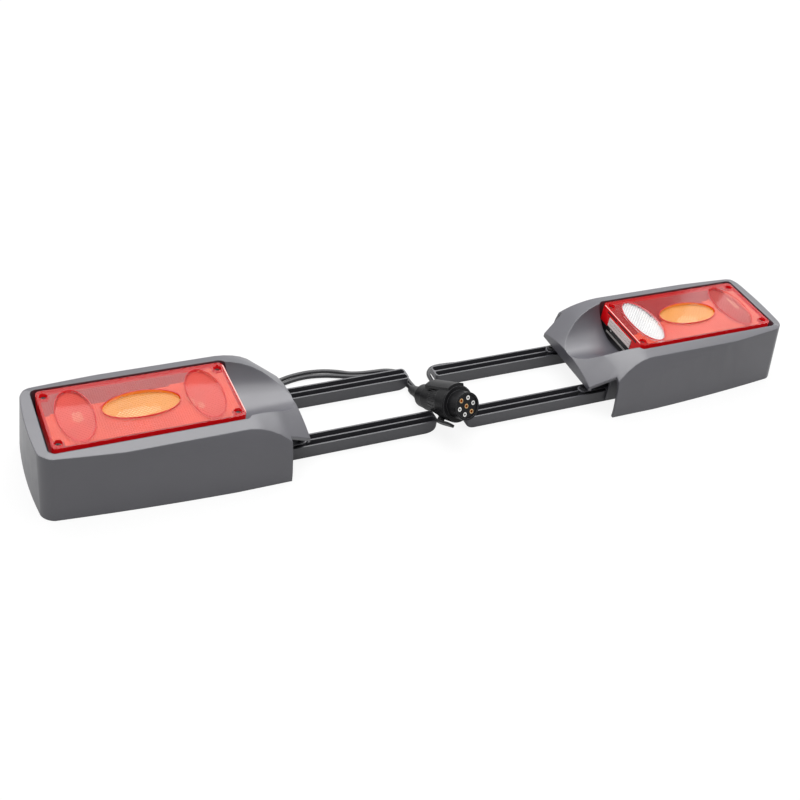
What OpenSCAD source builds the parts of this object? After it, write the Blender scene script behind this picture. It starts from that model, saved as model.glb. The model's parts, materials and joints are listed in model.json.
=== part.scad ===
// Trailer light set: two lamp housings that lie mirrored, each on two
// channel arms, with the seven pin plug and its cables between them.
// Row frame: x along the set, y to the rear, z up, the floor at z = 0.

/* [Set] */
// distance between the free ends of the left and right arms
arm_gap = 37; // [20:1:120]
// how far the right unit lies nearer than the left one
unit_shift = 5.7; // [0:0.1:20]

/* [Arms] */
// length of an arm, free end to the stop in the housing
arm_len = 320; // [260:1:400]
// width of an arm
arm_w = 21.7; // [16:0.1:28]
// height of an arm
arm_h = 18.2; // [12:0.1:24]
// distance from the unit's middle to an arm's inner side
arm_in = 33.3; // [28:0.1:40]
// thickness of the three walls of an arm
arm_wall = 2; // [1.2:0.1:3]
// thickness of an arm's floor
arm_floor = 2.5; // [1.5:0.1:5]
// radius of the rounded corners at an arm's free end
arm_corner = 5; // [1:0.5:8]
// radius of the upswept underside at the free end
arm_bow = 16; // [6:1:20]

/* [Housing] */
// free arm end to the housing's outer end, at the floor
end_x = 499.5; // [460:0.5:560]
// free arm end to the inner ends of the side walls
wall_x = 208.5; // [190:0.5:230]
// free arm end to the end of the lip
lip_x = 178; // [150:0.5:185]
// half the width of the lip at its end
lip_half = 61; // [58:0.5:70]
// half the width where the lip meets the side walls
notch_half = 72.5; // [66:0.5:78]
// height of the lip's lower edge
lip_z = 31.5; // [26:0.5:40]
// half the width of the housing at the floor
base_half = 88.5; // [80:0.5:100]
// radius of the bulged side walls, seen along the set
side_r = 170.5; // [140:0.5:400]
// height of the rim at the middle line
rim_z = 89.5; // [84:0.5:96]
// radius of the crown over the top
crown_r = 220; // [150:5:600]
// height of the flat cap over the crown
rim_cap = 83; // [81:0.5:92]
// free arm end to the place where the rim starts to fall to the lip
bend_x = 264.3; // [250:0.1:280]
// radius of the rim's bend down to the lip
bend_r = 101.5; // [60:0.5:140]
// slope of the top over the lip, in degrees
lip_slope = 40; // [30:1:42]
// fall of the rim toward the outer end, in degrees
rim_fall = 9.5; // [0:0.5:20]
// thickness of the skin
skin = 3.5; // [2:0.1:5]
// radius of the upright corners at the outer end
corner_r = 20; // [8:1:30]
// height of the scoop's lowest line
scoop_z = 45; // [44:0.5:50]
// radius of the scoop where it meets the lamp
scoop_r = 57; // [45:0.5:70]

/* [Lamp] */
// length of the lens
lens_l = 220; // [180:1:230]
// width of the lens
lens_w = 100; // [80:1:104]
// height of the lens top above the floor
lens_z = 83.5; // [80:0.5:90]
// height of the lens from its lower edge to its top
lens_h = 23.5; // [16:0.5:30]
// wall of the lens
lens_t = 2.5; // [1.5:0.1:3]
// gap between the lens and the rim
lens_gap = 5; // [1:0.5:8]
// centre of the lens along the arms
lens_x = 365.5; // [350:0.5:380]
// height of the lamp's underside
lamp_z = 41; // [36:0.5:50]
// lens screws, distance from an end of the lens
screw_end = 8; // [7:0.5:20]
// lens screws, distance from a side of the lens
screw_side = 9.8; // [8:0.1:20]
// length of the long ovals, across the lamp
oval_l = 88; // [60:1:92]
// width of the long ovals
oval_w = 41; // [30:1:46]
// middle oval, length along the lamp
mid_l = 90; // [60:1:96]
// middle oval, width
mid_w = 44; // [30:1:60]
// long ovals, distance of the centre from an end of the lens
oval_end = 35; // [28:0.5:40]
// rise of the ovals above the lens
oval_rise = 1.1; // [0.2:0.1:3]
// number plate window, width
win_w = 56; // [30:1:80]
// number plate window, height
win_h = 13.5; // [6:0.5:18]

/* [Plug and cables] */
// radius of the plug's nose
nose_r = 17.9; // [15:0.1:20]
// length of the nose
nose_l = 18.6; // [12:0.1:26]
// radius of the barrel behind the nose
barrel_r = 24; // [20:0.1:26]
// radius of the circle of outer contacts
pin_ring = 10.7; // [8:0.1:12]
// thickness of the cable from the plug to the left lamp
main_d = 6; // [4:0.1:8]
// thickness of the cable between the two lamps
link_d = 5.6; // [4:0.1:7]

/* [Hidden] */
$fn = 64;

eps = 0.01;
// play between two pieces that slide together in assembly
play = 0.15;
arm_out = arm_in + arm_w;
bow_x = sqrt(arm_bow * arm_bow - pow(arm_bow - arm_h * 0.6, 2));
arm_mid = arm_in + arm_w / 2;
side_c = side_r - base_half;
end_r = 450;
end_lean = 3.3;
flank_r = 3190;
flank_x = lip_x - 10;
flank_half = base_half + 1.8;
flank_lean = 8.9;
form_h = 120;
// longer than any piece, for what cuts right through
far = 3 * end_x;
bend_steps = 5;
screw_l = lens_l - 2 * screw_end;
screw_w = lens_w - 2 * screw_side;
oval_x = lens_l / 2 - oval_end;
pad_z = arm_h + 0.3;
pad_t = 2.2;
rib_t = 3;
rib_x = wall_x + 6;
rib_end = arm_len + 10;
screw_x = lip_x + 4;
lug_r = 6.4;
pan_r = 4.7;
pan_h = 2.8;
shank_r = 2.2;
pocket_x = lens_x - lens_l / 2 - lens_gap;
pocket_l = lens_l + 2 * lens_gap;
pocket_w = lens_w + 2 * lens_gap + 1;
pocket_floor = 3;
lens_low = lens_z - lens_h;
seal_t = 1;
flange_t = 2;
base_t = 2.5;
base_in = 3;
base_top = lens_low - seal_t;
post_r = 5.6;
well_r = 4.6;
well_floor = lens_z - 6;
lens_head_r = 3.6;
lens_shank_r = 1.8;
dome_r = 400;
flange_w = 3;
bolt_x = [lens_x - 28, lens_x + 40];
bolt_r = 2.4;
gland_y = 32;
main_gland_x = lens_x - 16;
link_gland_x = lens_x + 4;
gland_r = 5;
gland_z = lamp_z - pocket_floor - 5;
plug_el = 29.07;
plug_az = -80.08;
plug_at = [1.55, -78.47, 60];
grip_z = -79;
nut_z = -94.6;
barrel_l = 20;
waist_z = -62.5;
waist_r = 17.9;
key_z = -70;
flute_lean = atan2(barrel_r - 1.7 - waist_r, -nose_l - barrel_l - waist_z);
pin_z = -1.5;
rib_count = 3;
rib_step = 2;
well_h = 14;
bulb_low = lamp_z + base_t + 2;
plate_bulb_z = lens_low + 8;
plate_bulb_x = lens_x - lens_l / 2 + 10;
cap_x = end_x - 22;
plug_dir = [cos(plug_el) * cos(plug_az), cos(plug_el) * sin(plug_az),
            sin(plug_el)];
end_l = [-arm_gap / 2, unit_shift / 2, 0];
end_r2 = [arm_gap / 2, -unit_shift / 2, 0];
boot_r = 11.2;
boot_tip_r = 4.2;
boot_from = plug_at + nut_z * plug_dir;
boot_tip = end_l + [0.4, 27.5, 5.6];
tip_dir = [-0.5, 6, -0.8];
boot_line = smooth([boot_from, boot_from - 7 * plug_dir,
  end_l + [3.3, 14.2, 8.9], boot_tip - tip_dir, boot_tip], 4);
// the middle of a cable that lies on the floor
mr = main_d / 2 + 0.2;
lr = link_d / 2 + 0.2;
// the spare length of the main cable, coiled under the left lamp
coil_at = [395, -4];
coil_r = 42.3;
coil_step = main_d + 0.45;
coil_turns = 3;
coil_end_r = coil_r - coil_turns * coil_step;
coil_up = mr + main_d + 0.1;
// points on a spiral, clockwise from the angle a, twelve to a turn
function spiral(a, turns, r0, r1, z0, z1) = let (n = 12 * turns)
  [for (i = [0 : n - 1]) let (q = a - 30 * i, r = r0 + (r1 - r0) * i / n)
    [coil_at[0] + r * cos(q), coil_at[1] + r * sin(q),
     z0 + (z1 - z0) * i / n]];
// routes of the two cables, in order, by points they pass through
main_run = concat(
  [boot_tip, boot_tip + tip_dir, end_l + [-0.8, 40, mr + 0.3],
   end_l + [-0.7, 48, mr], end_l + [-1.9, 56, mr],
   end_l + [-6.4, 62.4, mr], end_l + [-13.2, 66, mr]],
  [for (p = [[22, 67.6, mr], [36, 67.4, mr], [52, 69.5, mr],
    [68, 73, mr], [84, 78.5, mr], [102, 84, mr], [124, 87, mr],
    [146, 85, mr], [166, 79.5, mr], [186, 73, mr], [208, 67.6, mr],
    [240, 65.4, mr], [270, 64.6, mr], [300, 62, mr], [328, 56, mr],
    [356, 47.5, mr], [376, 41, mr],
    [coil_at[0], coil_at[1] + coil_r, mr]]) left_at(p)]);
main_coil = [for (p = concat(
    spiral(60, coil_turns - 1 / 12, coil_r - coil_step / 12, coil_end_r,
           mr, mr),
    spiral(90, 0.25, coil_end_r, coil_end_r, mr, coil_up),
    spiral(0, 2.5, coil_end_r, coil_end_r + 2.5 * coil_step,
           coil_up, coil_up))) left_at(p)];
main_rise = [for (p = [
    [coil_at[0] - coil_end_r - 2.5 * coil_step, coil_at[1], coil_up],
    [main_gland_x + 5.2, 6, coil_up + 0.6],
    [main_gland_x + 3.4, 17, 13.4], [main_gland_x + 1, 26.4, 20.6],
    [main_gland_x, gland_y - 0.4, 27.6],
    [main_gland_x, gland_y, gland_z]]) left_at(p)];
main_route = concat(smooth(main_run, 2), main_coil,
                    smooth(main_rise, 2));
link_left = [for (p = [[link_gland_x, gland_y, gland_z],
  [link_gland_x, gland_y, gland_z - 3],
  [link_gland_x, gland_y + 3, 25], [link_gland_x - 3, 46, 13],
  [link_gland_x - 14, 60, 5.4], [334, 70, lr + 0.3], [300, 73.5, lr],
  [250, 73.6, lr], [208, 76, lr], [186, 81.5, lr], [166, 88, lr],
  [146, 93.6, lr], [122, 95.8, lr], [100, 93.4, lr], [82, 87.6, lr],
  [66, 80, lr], [50, 76.4, lr], [34, 75, lr], [19, 73.8, lr],
  [9, 70.8, lr], [1.4, 66, lr]]) left_at(p)];
link_mid = [end_l + [3.4, 59, lr], end_l + [5.2, 50, lr],
  end_l + [6, 40, lr], end_l + [8, 29.2, lr], end_l + [13.6, 23.5, lr],
  [(end_l[0] + end_r2[0]) / 2 + 2.7, 24.3, lr],
  end_r2 + [-8.2, 29.2, lr], end_r2 + [-2.6, 34.8, lr],
  end_r2 + [-0.6, 43, lr], end_r2 + [0.6, 55, lr],
  end_r2 + [5, 63, lr]];
link_right = [for (p = [[12, 68, lr], [22, 69.6, lr], [40, 68.6, lr],
  [64, 66, lr], [110, 64, lr], [160, 64.4, lr], [208, 68, lr],
  [250, 69.4, lr], [300, 69, lr], [324, 66, lr + 0.5],
  [link_gland_x - 18, 60, 5], [link_gland_x - 5, 47, 12],
  [link_gland_x, gland_y + 4, 24], [link_gland_x, gland_y, gland_z - 3],
  [link_gland_x, gland_y, gland_z]]) right_at(p)];

// places
module on_left() {
  translate([-arm_gap / 2, unit_shift / 2, 0]) mirror([1, 0, 0]) children();
}
module on_right() {
  translate([arm_gap / 2, -unit_shift / 2, 0]) children();
}
module at_plug() {
  translate(plug_at) rotate([0, 90 - plug_el, plug_az]) children();
}
function left_at(p) = [-arm_gap / 2 - p[0], unit_shift / 2 + p[1], p[2]];
function right_at(p) = [arm_gap / 2 + p[0], p[1] - unit_shift / 2, p[2]];

// flat shapes
module round_box(l, w, r) {
  square([l - 2 * r, w], center = true);
  square([l, w - 2 * r], center = true);
  for (i = [-1, 1], j = [-1, 1])
    translate([i * (l / 2 - r), j * (w / 2 - r)]) circle(r = r, $fn = 32);
}
function ring_points(a, b, n) =
  [for (i = [0 : n - 1]) [a * cos(i * 360 / n), b * sin(i * 360 / n)]];
module oval(l, w, n = 48) {
  polygon(ring_points(l / 2, w / 2, n));
}

// swept tubes
function unit_of(v) = v / norm(v);
function mix(a, b, c, d, t) = 0.5 * (2 * b + (c - a) * t
  + (2 * a - 5 * b + 4 * c - d) * t * t
  + (3 * b - a - 3 * c + d) * t * t * t);
function smooth(p, n) = let (m = len(p) - 1) concat(
  [for (i = [0 : m - 1], k = [0 : n - 1])
    mix(p[max(i - 1, 0)], p[i], p[i + 1], p[min(i + 2, m)], k / n)],
  [p[m]]);
function heading(p, i) = let (m = len(p) - 1)
  unit_of(p[min(i + 1, m)] - p[max(i - 1, 0)]);
function carry(p, i, v) = let (t = heading(p, i)) unit_of(v - (v * t) * t);
function sides(p, i, v) = let (w = carry(p, i, v))
  i == len(p) - 1 ? [w] : concat([w], sides(p, i + 1, w));
function hoops(p, r, v, n) = [for (i = [0 : len(p) - 1])
  let (t = heading(p, i), b = cross(t, v[i]))
  for (k = [0 : n - 1])
    p[i] + r[i] * (cos(k * 360 / n) * v[i] + sin(k * 360 / n) * b)];
module tube(p, r, n) {
  m = len(p);
  v = sides(p, 0, cross(heading(p, 0), [0.3, 0.2, 1]));
  polyhedron(points = hoops(p, r, v, n), faces = concat(
    [[for (k = [0 : n - 1]) n - 1 - k]],
    [for (i = [0 : m - 2], k = [0 : n - 1]) let (j = (k + 1) % n)
      [i * n + k, i * n + j, (i + 1) * n + j, (i + 1) * n + k]],
    [[for (k = [0 : n - 1]) (m - 1) * n + k]]), convexity = 8);
}

// housing
// every surface of the outer form moves inward by t
module crown(x, z, slope, t) {
  translate([x, 0, z]) rotate([0, -slope, 0])
    translate([-far / 2, 0, -crown_r]) rotate([0, 90, 0])
      cylinder(r = crown_r - t, h = far, $fn = 180);
}
module top_form(t) {
  intersection() {
    // the bend from the rim down to the lip, in small steps of slope
    bend(t);
    translate([0, -far / 2, -10]) cube([far, far, rim_cap + 10 - t]);
    translate([cap_x, 0, rim_cap]) rotate([0, rim_fall, 0])
      translate([-far / 2, -far / 2, -far])
        cube([far, far, far - t]);
  }
}
module bend(t) {
  intersection_for(i = [0 : bend_steps]) {
    s = lip_slope * i / bend_steps;
    crown(bend_x - bend_r * sin(s), rim_z - bend_r * (1 - cos(s)), s, t);
  }
}
module flank(t) {
  translate([flank_x, flank_r - flank_half, -1])
    cylinder(r1 = flank_r - t + tan(flank_lean),
             r2 = flank_r - t - form_h * tan(flank_lean), h = form_h + 1,
             $fn = 720);
}
module outer_corner(t) {
  cx = end_x - 23.2;
  cy = base_half - 33.2;
  translate([cx, -cy, 0]) rotate([-8.59, -2.575, 0]) difference() {
    translate([0, -60, -20]) cube([60, 60, form_h + 30]);
    translate([0, 0, -21]) cylinder(r = corner_r - t, h = form_h + 32);
  }
}
module bulge(t) {
  translate([lip_x - 40, side_c, 0]) rotate([0, 90, 0])
    cylinder(r = side_r - t, h = 420, $fn = 180);
}
module form(t, low) {
  difference() {
    intersection() {
      translate([lip_x, -far / 2, low]) cube([far, far, form_h]);
      bulge(t);
      mirror([0, 1, 0]) bulge(t);
      flank(t);
      mirror([0, 1, 0]) flank(t);
      translate([end_x - end_r, 0, -1])
        cylinder(r1 = end_r - t + tan(end_lean),
                 r2 = end_r - t - form_h * tan(end_lean), h = form_h + 1,
                 $fn = 240);
      top_form(t);
    }
    outer_corner(t);
    mirror([0, 1, 0]) outer_corner(t);
  }
}
module scoop(t) {
  slope = 11.3;
  far = scoop_r * cos(slope);
  long = 112;
  translate([pocket_x + 6, 0, scoop_z + scoop_r]) rotate([0, -90 - slope, 0])
    translate([0, 0, -8]) cylinder(r1 = far + t + 8 * tan(slope),
      r2 = far + t - long * tan(slope), h = long + 8, $fn = 120);
}
module pocket(grow, low) {
  translate([lens_x, 0, low]) linear_extrude(height = 100)
    round_box(pocket_l + 2 * grow, pocket_w + 2 * grow, 8 + grow);
}
module saddle() {
  difference() {
    intersection() {
      form(skin / 2, 4);
      translate([rib_x, arm_in - rib_t, 4])
        cube([rib_end - rib_x, arm_w + 2 * rib_t, 120]);
    }
    translate([lip_x - 10, arm_in - play, -1])
      cube([arm_len + play - lip_x + 10, arm_w + 2 * play, pad_z + 1]);
    translate([rib_x - 1, arm_in, pad_z + pad_t])
      cube([rib_end - rib_x - 3, arm_w, 120]);
  }
  translate([screw_x, arm_mid, pad_z]) cylinder(r = lug_r, h = pad_t);
  translate([screw_x, arm_mid - lug_r, pad_z])
    cube([rib_x - screw_x + 2, 2 * lug_r, pad_t]);
}
module skin_form() {
  difference() {
    union() {
      difference() {
        form(0, 0);
        difference() {
          form(skin, -1);
          translate([0, -200, -2]) cube([lip_x + skin, 400, 200]);
        }
      }
      intersection() {
        form(skin / 2, lip_z);
        scoop(skin);
      }
      intersection() {
        form(skin / 2, lamp_z - pocket_floor);
        pocket(skin, lamp_z - pocket_floor);
      }
    }
    // open below the lip and beside it
    translate([lip_x - 40, -far / 2, -1])
      cube([wall_x - lip_x + 40, far, lip_z + 1]);
    for (m = [0, 1]) mirror([0, m, 0])
      translate([0, 0, -1]) linear_extrude(height = 200)
        polygon([[lip_x - 30, lip_half], [lip_x, lip_half],
                 [wall_x, notch_half], [wall_x, 200], [lip_x - 30, 200]]);
  }
}
module housing(glands) {
  color([0.5, 0.5, 0.53]) difference() {
    union() {
      skin_form();
      saddle();
      mirror([0, 1, 0]) saddle();
    }
    scoop(0);
    pocket(0, lamp_z);
    for (x = bolt_x) translate([x, 0, lamp_z - 10])
      cylinder(r = bolt_r + 0.2, h = 20);
    for (x = glands) translate([x, gland_y, lamp_z - 10])
      cylinder(r = gland_r + play, h = 20);
    for (s = [-1, 1]) translate([screw_x, s * arm_mid, 0])
      cylinder(r = shank_r + play, h = pad_z + pad_t + 1);
  }
}

// arms
module arm_plan(l, w, r) {
  translate([r, 0]) square([l - r, w]);
  translate([0, r]) square([r + 1, w - 2 * r]);
  for (y = [r, w - r]) translate([r, y]) circle(r = r, $fn = 40);
}
// the space above the underside, which sweeps up at the free end
module bow(t) {
  translate([bow_x, -5, arm_bow]) rotate([-90, 0, 0])
    cylinder(r = arm_bow - t, h = arm_w + 10, $fn = 96);
  translate([bow_x, -5, t]) cube([arm_len, arm_w + 10, arm_h + 5]);
}
module arm() {
  inner = (arm_w - 3 * arm_wall) / 2;
  color([0.27, 0.27, 0.29]) translate([0, arm_in, 0]) difference() {
    union() {
      difference() {
        intersection() {
          linear_extrude(height = arm_h) arm_plan(arm_len, arm_w, arm_corner);
          bow(0);
        }
        for (y = [arm_wall, 2 * arm_wall + inner]) intersection() {
          translate([arm_wall, y, 0]) linear_extrude(height = arm_h + 1)
            arm_plan(arm_len - 2 * arm_wall, inner, arm_corner - arm_wall);
          bow(arm_floor);
        }
      }
      translate([screw_x, arm_w / 2, 0.5])
        cylinder(r = 5.4, h = arm_h - 0.5);
    }
    translate([screw_x, arm_w / 2, 3]) cylinder(r = shank_r, h = arm_h);
  }
}
module pan_screw(r, h, shank, low, high) {
  translate([0, 0, low]) cylinder(r = shank - 0.02, h = high - low + 1);
  difference() {
    translate([0, 0, high]) cylinder(r = r, h = h);
    translate([0, 0, high + h - 1.4]) {
      translate([-r * 0.6, -0.6, 0]) cube([r * 1.2, 1.2, 2]);
      translate([-0.6, -r * 0.6, 0]) cube([1.2, r * 1.2, 2]);
    }
  }
}
module arm_screws() {
  color([0.22, 0.22, 0.24])
    for (s = [-1, 1]) translate([screw_x, s * arm_mid, 0])
      pan_screw(pan_r, pan_h, shank_r, 3.5, pad_z + pad_t);
}

// lamp
module lamp_box(l, w, r, low, high) {
  translate([lens_x, 0, low]) linear_extrude(height = high - low)
    round_box(l, w, r);
}
module at_lens_screws() {
  for (i = [-1, 1], j = [-1, 1])
    translate([lens_x + i * screw_l / 2, j * screw_w / 2, 0]) children();
}
module lamp_base(glands) {
  l = lens_l - 2 * base_in;
  w = lens_w - 2 * base_in;
  color([0.16, 0.16, 0.17]) difference() {
    union() {
      difference() {
        union() {
          lamp_box(l, w, 4, lamp_z, base_top);
          lamp_box(lens_l - 1, lens_w - 1, 5, base_top - flange_t, base_top);
        }
        lamp_box(l - 2 * base_t, w - 2 * base_t, 2, lamp_z + base_t, base_top + 1);
      }
      at_lens_screws() translate([0, 0, lamp_z])
        cylinder(r = post_r - 1, h = base_top - lamp_z);
      for (k = [1 : rib_count])
        translate([lens_x - lens_l / 2 + 0.5, -win_w / 2,
                   base_top - flange_t - k * rib_step])
          cube([base_in, win_w, rib_step / 2]);
    }
    at_lens_screws() translate([0, 0, lamp_z + 3])
      cylinder(r = lens_shank_r, h = 30);
    for (x = bolt_x) translate([x, 0, lamp_z - 1])
      cylinder(r = bolt_r + 0.2, h = 5);
    for (x = glands) translate([x, gland_y, lamp_z - 1])
      cylinder(r = gland_r + play, h = 5);
  }
}
module seal() {
  color([0.08, 0.08, 0.08]) difference() {
    lamp_box(lens_l - 1, lens_w - 1, 5, base_top, lens_low);
    lamp_box(lens_l - 13, lens_w - 13, 3, base_top - 1, lens_low + 1);
    at_lens_screws() translate([0, 0, base_top - 1])
      cylinder(r = post_r + 0.3, h = 4);
  }
}
module at_ovals(list) {
  for (i = list) translate([lens_x + i * oval_x, 0, 0]) children();
}
module long_oval(grow) { oval(oval_w + 2 * grow, oval_l + 2 * grow); }
module mid_oval(grow) { oval(mid_l + 2 * grow, mid_w + 2 * grow); }
module dome(t) {
  translate([0, 0, lens_z + oval_rise - dome_r]) difference() {
    sphere(r = dome_r, $fn = 360);
    sphere(r = dome_r - t, $fn = 360);
  }
}
module dome_piece(grow) {
  intersection() {
    translate([0, 0, lens_z - 10]) linear_extrude(height = 20) children();
    dome(lens_t);
  }
}
// reds: which of the long ovals are part of the red lens
module lens(reds) {
  color([0.8, 0.06, 0.07, 0.85]) difference() {
    union() {
      difference() {
        lamp_box(lens_l, lens_w, 6, lens_low, lens_z);
        lamp_box(lens_l - 2 * lens_t, lens_w - 2 * lens_t, 4, lens_low - 1,
                 lens_z - lens_t);
        at_ovals([-1, 1]) translate([0, 0, lens_z - 10])
          linear_extrude(height = 20) long_oval(0);
        translate([lens_x, 0, lens_z - 10])
          linear_extrude(height = 20) mid_oval(0);
      }
      at_ovals(reds) dome_piece() long_oval(0.2);
      at_lens_screws() translate([0, 0, lens_low])
        cylinder(r = post_r, h = lens_h - 1);
    }
    at_lens_screws() {
      translate([0, 0, well_floor]) cylinder(r = well_r, h = 20);
      translate([0, 0, lens_low - 1])
        cylinder(r = lens_shank_r + play, h = 40);
    }
    translate([lens_x - lens_l / 2 - 1, -win_w / 2, lens_low + 1.5])
      cube([lens_t + 2, win_w, win_h]);
  }
}
// a coloured oval: its dome fills the hole, its flange is under the lens
module oval_insert() {
  top = lens_z - lens_t;
  difference() {
    union() {
      dome_piece() children(0);
      translate([0, 0, top - 2.2]) linear_extrude(height = 2.2) children(1);
    }
    translate([0, 0, top - 3]) linear_extrude(height = 1.8) children(0);
  }
}
module amber_oval() {
  color([0.98, 0.6, 0.1, 0.85]) translate([lens_x, 0, 0]) oval_insert() {
    mid_oval(-play / 2);
    mid_oval(flange_w);
  }
}
module reverse_oval() {
  color([0.95, 0.95, 0.95, 0.7]) at_ovals([-1]) oval_insert() {
    long_oval(-play / 2);
    long_oval(flange_w);
  }
}
module plate_window() {
  x = lens_x - lens_l / 2;
  z = lens_low + 1.5;
  color([0.95, 0.93, 0.93, 0.7]) {
    translate([x, -win_w / 2 + play / 2, z + play / 2])
      cube([lens_t + eps, win_w - play, win_h - play]);
    translate([x + lens_t, -win_w / 2 - 2, z - 1])
      cube([1.2, win_w + 4, win_h + 2]);
  }
}
module lens_screws() {
  color([0.5, 0.5, 0.5]) at_lens_screws()
    pan_screw(lens_head_r, 2, lens_shank_r, lamp_z + 3.5, well_floor);
}
module reflector() {
  low = lens_low + 1;
  l = lens_l - 2 * lens_t - 7;
  w = lens_w - 2 * lens_t - 1;
  color([0.85, 0.85, 0.85]) difference() {
    union() {
      lamp_box(l, w, 3, low, low + 1.5);
      translate([0, 0, low]) linear_extrude(height = well_h) {
        at_ovals([-1, 1]) long_oval(-0.5);
        translate([lens_x, 0]) mid_oval(-2);
      }
    }
    translate([0, 0, low + 1.5]) linear_extrude(height = well_h + 1) {
      at_ovals([-1, 1]) long_oval(-2);
      translate([lens_x, 0]) mid_oval(-3.5);
    }
    at_ovals([-1, 0, 1]) translate([0, 0, low - 1]) cylinder(r = 11.5, h = 4);
    at_lens_screws() translate([0, 0, low - 1])
      cylinder(r = post_r + 0.4, h = 4);
    translate([lens_x - lens_l / 2, -21, low - 1]) cube([14, 42, 4]);
  }
}
module bulb() {
  color([0.9, 0.85, 0.75, 0.6]) translate([0, 0, bulb_low + 23])
    sphere(r = 10.5);
  color([0.7, 0.65, 0.5]) translate([0, 0, bulb_low])
    cylinder(r = 7.4, h = 15);
}
module bulb_at(i) { at_ovals([i]) bulb(); }
module plate_bulb() {
  translate([plate_bulb_x, 0, plate_bulb_z]) rotate([90, 0, 0]) {
    color([0.9, 0.9, 0.9, 0.6]) cylinder(r = 4, h = 24, center = true);
    color([0.7, 0.7, 0.7]) cylinder(r = 3, h = 36, center = true);
  }
}
module bulb_holders() {
  low = lamp_z + base_t;
  color([0.7, 0.68, 0.6]) {
    at_ovals([-1, 0, 1]) difference() {
      translate([0, 0, low]) cylinder(r = 9.6, h = 13);
      translate([0, 0, bulb_low]) cylinder(r = 7.5, h = 20);
    }
    for (s = [-1, 1]) difference() {
      translate([plate_bulb_x - 2, s * 16 - 1.5, low])
        cube([4, 3, plate_bulb_z - low + 4]);
      translate([plate_bulb_x, 0, plate_bulb_z]) rotate([90, 0, 0])
        cylinder(r = 3.02, h = 50, center = true);
      translate([plate_bulb_x - 1.6, -30, plate_bulb_z])
        cube([3.2, 60, 20]);
    }
  }
}
module lamp_bolts() {
  color([0.6, 0.6, 0.62]) for (x = bolt_x) translate([x, 0, 0]) {
    translate([0, 0, lamp_z - pocket_floor - 6])
      cylinder(r = bolt_r, h = pocket_floor + base_t + 7);
    translate([0, 0, lamp_z + base_t]) cylinder(r = 4.5, h = 3, $fn = 6);
  }
}
module lamp_nuts() {
  color([0.6, 0.6, 0.62]) for (x = bolt_x)
    translate([x, 0, lamp_z - pocket_floor - 4]) difference() {
      cylinder(r = 4.6, h = 4, $fn = 6);
      translate([0, 0, -1]) cylinder(r = bolt_r + 0.02, h = 6);
    }
}
module grommets(glands) {
  color([0.1, 0.1, 0.1]) for (x = glands)
    translate([x, gland_y, gland_z]) {
      cylinder(r = gland_r, h = lamp_z + base_t - gland_z + 0.5);
      translate([0, 0, lamp_z + base_t - gland_z])
        cylinder(r = gland_r + 1.5, h = 1.5);
      translate([0, 0, lamp_z - pocket_floor - gland_z - 1.5])
        cylinder(r = gland_r + 1.5, h = 1.5);
    }
}

// plug
module plug_body() {
  root = -nose_l - 1;
  barrel_z = -nose_l - barrel_l;
  color([0.14, 0.14, 0.15]) at_plug() difference() {
    union() {
      translate([0, 0, root]) cylinder(r = nose_r, h = -root);
      translate([0, 0, barrel_z]) cylinder(r1 = barrel_r - 0.7,
        r2 = barrel_r, h = barrel_l - 2);
      translate([0, 0, -nose_l - 2]) cylinder(r1 = barrel_r,
        r2 = barrel_r - 1.2, h = 2);
      translate([0, 0, waist_z]) cylinder(r1 = waist_r,
        r2 = barrel_r - 1.7, h = barrel_z - waist_z);
      translate([0, 0, grip_z]) cylinder(r1 = waist_r - 0.4,
        r2 = waist_r, h = waist_z - grip_z);
      // wide key on the top
      intersection() {
        translate([-barrel_r - 4, -12, key_z])
          cube([12, 24, -nose_l - 0.2 - key_z]);
        translate([0, 0, key_z]) cylinder(r1 = barrel_r + 0.6,
          r2 = barrel_r + 3, h = -nose_l - key_z);
      }
      // tab below, a foot with an oval plate
      rotate(-42) {
        translate([waist_r, -3, -nose_l - 23]) cube([11, 6, 7]);
        translate([barrel_r + 3, -6, -nose_l - 18.4]) cube([3, 12, 20.4]);
        for (z = [-nose_l - 18.4, -nose_l + 2])
          translate([barrel_r + 3, 0, z]) rotate([0, 90, 0])
            cylinder(r = 6, h = 3, $fn = 40);
      }
    }
    // flutes of the grip
    for (a = [20 : 14 : 340]) rotate(a + 180)
      translate([waist_r - 0.7, -0.6, waist_z + 1])
        rotate([0, flute_lean, 0]) cube([4, 1.2, 19]);
    translate([0, 0, -15]) cylinder(r = nose_r - 2.2, h = 20);
    translate([0, 0, grip_z - 5]) cylinder(r = 11, h = 75);
  }
}
module at_pins(list) {
  for (k = list) rotate(-143 - 60 * (k - 1)) translate([pin_ring, 0, 0])
    children();
}
module plug_insert() {
  color([0.06, 0.06, 0.06]) at_plug() difference() {
    translate([0, 0, -15]) cylinder(r = nose_r - 2.2 - 0.02, h = 15 + pin_z);
    translate([0, 0, -14]) {
      at_pins([1, 2, 3, 4, 5, 6]) cylinder(r = 2.9, h = 20);
      cylinder(r = 2.9, h = 20);
    }
  }
}
module socket_contact(r) {
  translate([0, 0, -14]) difference() {
    cylinder(r = 2.88, h = 12.1);
    translate([0, 0, 4]) cylinder(r = r, h = 12);
  }
}
module contacts_brass() {
  color([0.8, 0.6, 0.3]) at_plug() {
    at_pins([1, 4]) socket_contact(1.9);
    socket_contact(1.9);
  }
}
module contacts_silver() {
  color([0.9, 0.9, 0.88]) at_plug() at_pins([2, 3, 5, 6])
    socket_contact(1.4);
}
module gland_nut() {
  color([0.12, 0.12, 0.12]) at_plug() translate([0, 0, nut_z])
    cylinder(r1 = 15.2, r2 = 16.9, h = grip_z - nut_z);
}

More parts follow.
